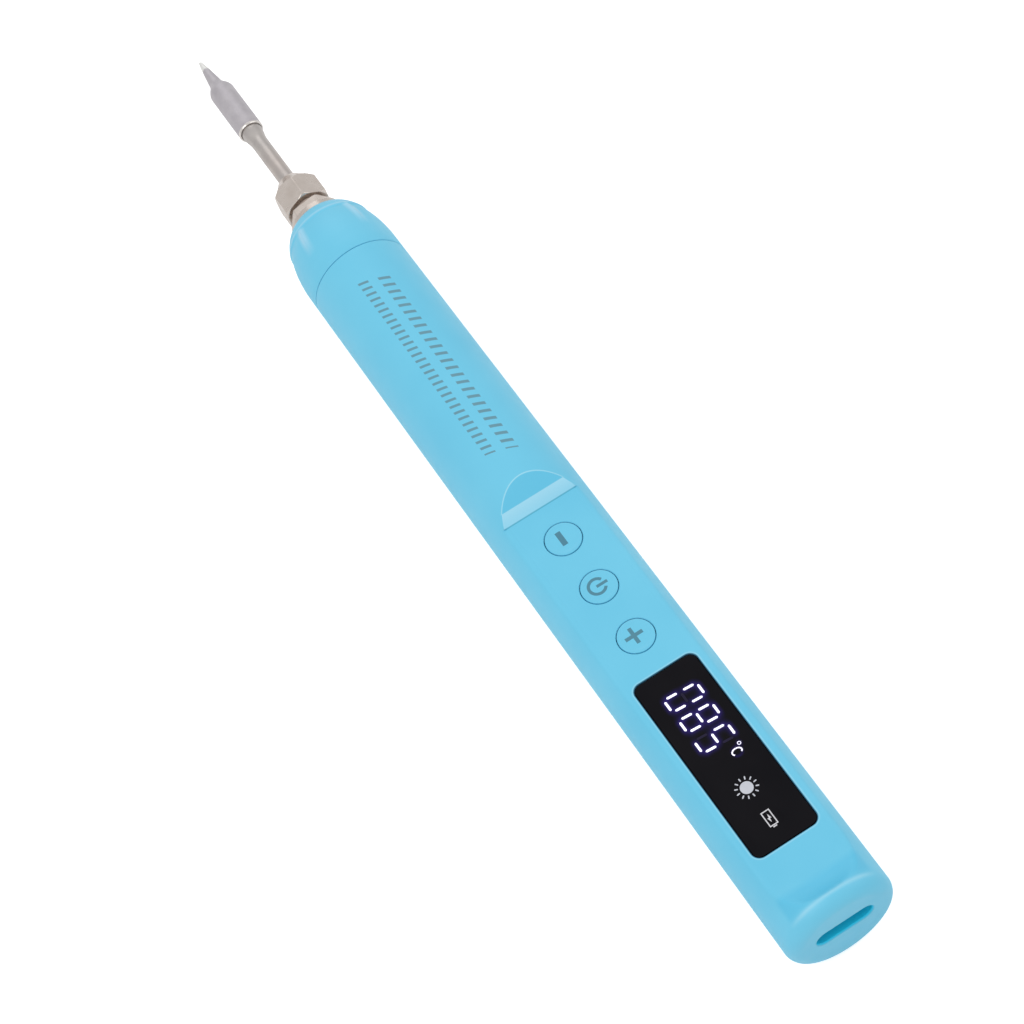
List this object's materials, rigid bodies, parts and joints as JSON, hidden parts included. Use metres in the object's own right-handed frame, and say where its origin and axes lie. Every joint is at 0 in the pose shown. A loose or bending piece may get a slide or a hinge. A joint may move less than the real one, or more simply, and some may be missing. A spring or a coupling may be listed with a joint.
{
  "type": "soldering iron",
  "caption": "Cordless pen soldering iron: round blue barrel with three buttons and a display window in a sunk flat, screwed nose collar, clamp nut and plug-in tip.",
  "frame": {"origin": "under the middle of the pen, on the surface that its round barrel lies on; the barrel axis is 9 mm above it", "axes": "+X along the pen from the tip to the charging port, +Z out of the flat with the buttons and the display, +Y the way the tops of the digits point"},
  "size_m": [0.206, 0.018, 0.018],
  "materials": {
    "body_plastic": "satin",
    "button_plastic": "satin",
    "nickel_plate": "satin",
    "tip_plating": "matte",
    "shank_steel": "satin",
    "heater_ceramic": "matte",
    "nickel_wire": "satin",
    "high_temp_plastic": "matte",
    "black_plastic": "matte",
    "gold_contact": "polished",
    "cell_wrap": "satin",
    "nickel_strip": "satin",
    "foam": "matte",
    "white_insulation": "matte",
    "red_insulation": "matte",
    "black_insulation": "matte",
    "carrier_plastic": "matte",
    "circuit_board": "satin",
    "screw_steel": "satin",
    "chip_epoxy": "matte",
    "capacitor_ceramic": "matte",
    "display_case": "matte",
    "window_acrylic": "gloss"
  },
  "bodies": {
    "handle": {"barrel_shell": "body_plastic", "contact_holder": "black_plastic", "contact_ring_front": "gold_contact", "contact_ring_rear": "gold_contact", "battery_cell": "cell_wrap", "battery_tab_front": "nickel_strip", "battery_tab_rear": "nickel_strip", "foam_pad": "foam", "heater_lead_a": "white_insulation", "heater_lead_b": "white_insulation", "battery_lead_front": "red_insulation", "battery_lead_rear": "black_insulation", "board_carrier": "carrier_plastic", "main_board": "circuit_board", "carrier_screws": "screw_steel", "charge_chip": "chip_epoxy", "boost_inductor": "chip_epoxy", "filter_capacitors": "capacitor_ceramic", "power_transistor": "chip_epoxy", "switch_minus": "black_plastic", "switch_power": "black_plastic", "switch_plus": "black_plastic", "display_module": "display_case", "display_pins": "screw_steel", "display_window": "window_acrylic", "usb_shell": "screw_steel", "usb_tongue": "black_plastic"},
    "nose": {"nozzle_bush": "nickel_plate", "bush_retainer": "screw_steel", "nozzle_insulator": "high_temp_plastic"},
    "collar": {"nose_collar": "body_plastic"},
    "tip": {"tip_sleeve": "tip_plating", "tip_shank": "shank_steel", "heater_core": "heater_ceramic", "heater_wires": "nickel_wire", "jack_insulator": "high_temp_plastic", "jack_ring": "gold_contact", "jack_pin": "gold_contact"},
    "nut": {"tip_nut": "nickel_plate"},
    "minus_button": {"button_minus": "button_plastic", "plunger_minus": "carrier_plastic"},
    "power_button": {"button_power": "button_plastic", "plunger_power": "carrier_plastic"},
    "plus_button": {"button_plus": "button_plastic", "plunger_plus": "carrier_plastic"}
  },
  "joints": [
    {"name": "collar_turn", "type": "hinge", "parent": "nose", "child": "collar", "pos_m": [-0.047, 0, 0.009], "axis": [-1, 0, 0], "range_deg": [0, 1080.5]},
    {"name": "nose_advance", "type": "slide", "parent": "handle", "child": "nose", "axis": [-1, 0, 0], "range_m": [0, 0.0045]},
    {"name": "tip_pull", "type": "slide", "parent": "nose", "child": "tip", "axis": [-1, 0, 0], "range_m": [0, 0.025]},
    {"name": "nut_turn", "type": "hinge", "parent": "tip", "child": "nut", "pos_m": [-0.062, 0, 0.009], "axis": [-1, 0, 0], "continuous": true},
    {"name": "minus_press", "type": "slide", "parent": "handle", "child": "minus_button", "axis": [0, 0, -1], "range_m": [0, 0.0004], "stiffness_N_per_m": 300, "springref_m": -0.0004},
    {"name": "power_press", "type": "slide", "parent": "handle", "child": "power_button", "axis": [0, 0, -1], "range_m": [0, 0.0004], "stiffness_N_per_m": 300, "springref_m": -0.0004},
    {"name": "plus_press", "type": "slide", "parent": "handle", "child": "plus_button", "axis": [0, 0, -1], "range_m": [0, 0.0004], "stiffness_N_per_m": 300, "springref_m": -0.0004}
  ],
  "couplings": [
    {"joint": "collar_turn", "follows": "nose_advance", "rad_per_m": 4188.8}
  ]
}
